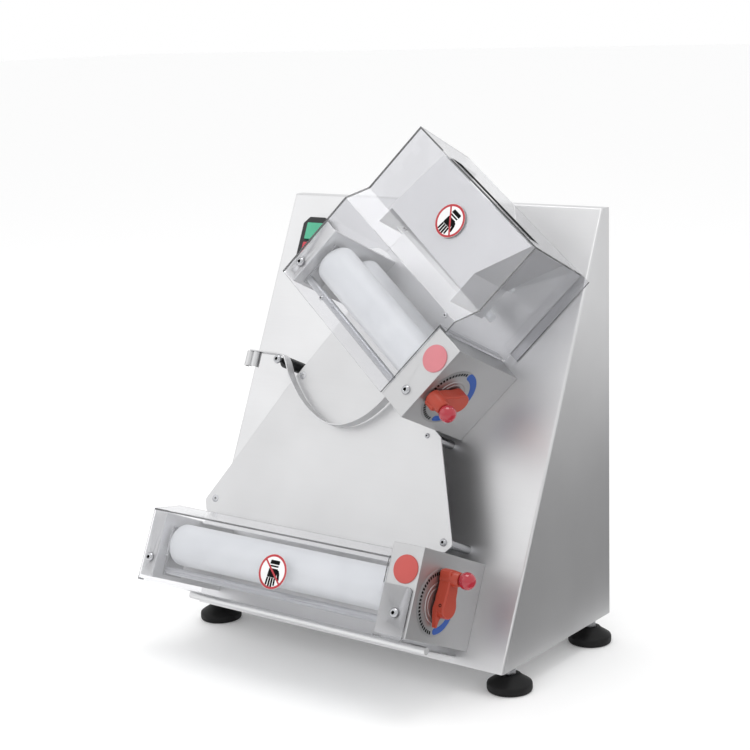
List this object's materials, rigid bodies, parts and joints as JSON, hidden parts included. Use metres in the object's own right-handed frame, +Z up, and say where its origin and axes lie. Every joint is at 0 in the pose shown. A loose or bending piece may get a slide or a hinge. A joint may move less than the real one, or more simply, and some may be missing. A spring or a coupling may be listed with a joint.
{
  "type": "dough sheeter",
  "caption": "Table-top two-pass dough sheeter: slanted upper rollers under a clear hood, level lower rollers behind a guard, chute and balance arm between.",
  "frame": {"origin": "on the floor under the middle of the whole machine", "axes": "+X to the right along the lower rollers, -Y towards the user, +Z up"},
  "size_m": [0.4699, 0.3516, 0.595],
  "materials": {
    "brushed_shell": "brushed",
    "satin_sheet": "satin",
    "machined_steel": "machined",
    "polished_fastener": "polished",
    "roller_plastic": "smooth",
    "clear_plastic": "gloss",
    "lever_plastic": "satin",
    "ball_plastic": "gloss",
    "cap_plastic": "smooth",
    "dial_foil": "satin",
    "black_rubber": "matte",
    "black_plastic": "satin",
    "green_button": "gloss",
    "red_button": "gloss",
    "sign_vinyl": "smooth",
    "motor_paint": "satin",
    "belt_rubber": "matte"
  },
  "bodies": {
    "machine": {"arm_post": "black_plastic", "back_panel": "brushed_shell", "back_panel_screws": "polished_fastener", "base_plate": "brushed_shell", "body_shell": "brushed_shell", "cable_gland": "black_plastic", "chute_plate": "satin_sheet", "chute_screws": "polished_fastener", "chute_spacers": "machined_steel", "exit_shelf": "satin_sheet", "foot_nuts": "polished_fastener", "funnel": "satin_sheet", "funnel_rods": "roller_plastic", "guard_screws": "polished_fastener", "intake_plate": "satin_sheet", "lower_adjuster_box": "brushed_shell", "lower_belt": "belt_rubber", "lower_dial_plate": "dial_foil", "lower_gearmotor": "motor_paint", "lower_guard": "clear_plastic", "lower_left_bracket": "satin_sheet", "lower_red_cap": "cap_plastic", "lower_side_plate": "machined_steel", "lower_sign": "sign_vinyl", "rubber_feet": "black_rubber", "switch_bezel": "black_plastic", "upper_adjuster_box": "brushed_shell", "upper_belt": "belt_rubber", "upper_dial_plate": "dial_foil", "upper_gearmotor": "motor_paint", "upper_hood": "clear_plastic", "upper_left_bracket": "satin_sheet", "upper_red_cap": "cap_plastic", "upper_side_plate": "machined_steel", "upper_sign": "sign_vinyl"},
    "lower_rear_roller_set": {"lower_rear_roller": "roller_plastic", "lower_rear_shaft": "machined_steel", "lower_rear_gear": "machined_steel"},
    "lower_front_roller_set": {"lower_front_roller": "roller_plastic", "lower_front_gear_shaft": "machined_steel"},
    "lower_carriage_set": {"lower_carriage": "machined_steel"},
    "lower_lever_set": {"lower_lever": "lever_plastic", "lower_ball_knob": "ball_plastic", "lower_cam_spindle": "machined_steel"},
    "lower_motor_set": {"lower_motor_pulley": "machined_steel"},
    "upper_rear_roller_set": {"upper_rear_roller": "roller_plastic", "upper_rear_shaft": "machined_steel", "upper_rear_gear": "machined_steel"},
    "upper_front_roller_set": {"upper_front_roller": "roller_plastic", "upper_front_gear_shaft": "machined_steel"},
    "upper_carriage_set": {"upper_carriage": "machined_steel"},
    "upper_lever_set": {"upper_lever": "lever_plastic", "upper_ball_knob": "ball_plastic", "upper_cam_spindle": "machined_steel"},
    "upper_motor_set": {"upper_motor_pulley": "machined_steel"},
    "arm_set": {"balance_arm": "satin_sheet", "counterweight": "satin_sheet"},
    "start_set": {"start_button": "green_button"},
    "stop_set": {"stop_button": "red_button"}
  },
  "joints": [
    {"name": "lower_rear_spin", "type": "hinge", "parent": "machine", "child": "lower_rear_roller_set", "pos_m": [0.02, -0.07956, 0.10082], "axis": [1, 0, 0], "continuous": true},
    {"name": "lower_motor_spin", "type": "hinge", "parent": "machine", "child": "lower_motor_set", "pos_m": [0.154, -0.01078, 0.06969], "axis": [1, 0, 0], "continuous": true},
    {"name": "lower_lever_turn", "type": "hinge", "parent": "machine", "child": "lower_lever_set", "pos_m": [0.17, -0.11496, 0.11355], "axis": [1, 0, 0], "range_deg": [0, 175.02]},
    {"name": "lower_gap_slide", "type": "slide", "parent": "machine", "child": "lower_carriage_set", "axis": [0, -0.911, 0.4124], "range_m": [0, 0.00389]},
    {"name": "lower_front_spin", "type": "hinge", "parent": "lower_carriage_set", "child": "lower_front_roller_set", "pos_m": [0.02, -0.12384, 0.12086], "axis": [1, 0, 0], "continuous": true},
    {"name": "upper_rear_spin", "type": "hinge", "parent": "machine", "child": "upper_rear_roller_set", "pos_m": [0.00832, 0.04632, 0.37894], "axis": [0.8141, -0.2395, -0.529], "continuous": true},
    {"name": "upper_motor_spin", "type": "hinge", "parent": "machine", "child": "upper_motor_set", "pos_m": [0.11741, 0.08301, 0.27691], "axis": [0.8141, -0.2395, -0.529], "continuous": true},
    {"name": "upper_lever_turn", "type": "hinge", "parent": "machine", "child": "upper_lever_set", "pos_m": [0.1287, -0.02477, 0.31282], "axis": [0.8141, -0.2395, -0.529], "range_deg": [-101.02, 74.02]},
    {"name": "upper_gap_slide", "type": "slide", "parent": "machine", "child": "upper_carriage_set", "axis": [0, -0.911, 0.4124], "range_m": [-0.00224, 0.00164]},
    {"name": "upper_front_spin", "type": "hinge", "parent": "upper_carriage_set", "child": "upper_front_roller_set", "pos_m": [0.00832, 0.00003, 0.39989], "axis": [0.8141, -0.2395, -0.529], "continuous": true},
    {"name": "arm_swing", "type": "hinge", "parent": "machine", "child": "arm_set", "pos_m": [-0.1297, 0.0009, 0.32345], "axis": [0, -0.911, 0.4124], "range_deg": [-22, 0]},
    {"name": "start_press", "type": "slide", "parent": "machine", "child": "start_set", "axis": [0, 0.911, -0.4124], "range_m": [0, 0.003], "stiffness_N_per_m": 300},
    {"name": "stop_press", "type": "slide", "parent": "machine", "child": "stop_set", "axis": [0, 0.911, -0.4124], "range_m": [0, 0.003], "stiffness_N_per_m": 300}
  ],
  "couplings": [
    {"joint": "lower_motor_spin", "follows": "lower_rear_spin", "ratio": 1},
    {"joint": "lower_front_spin", "follows": "lower_rear_spin", "ratio": -1},
    {"joint": "lower_lever_turn", "follows": "lower_gap_slide", "rad_per_m": 785.4},
    {"joint": "upper_motor_spin", "follows": "upper_rear_spin", "ratio": 1},
    {"joint": "upper_front_spin", "follows": "upper_rear_spin", "ratio": -1},
    {"joint": "upper_lever_turn", "follows": "upper_gap_slide", "rad_per_m": 785.4}
  ]
}
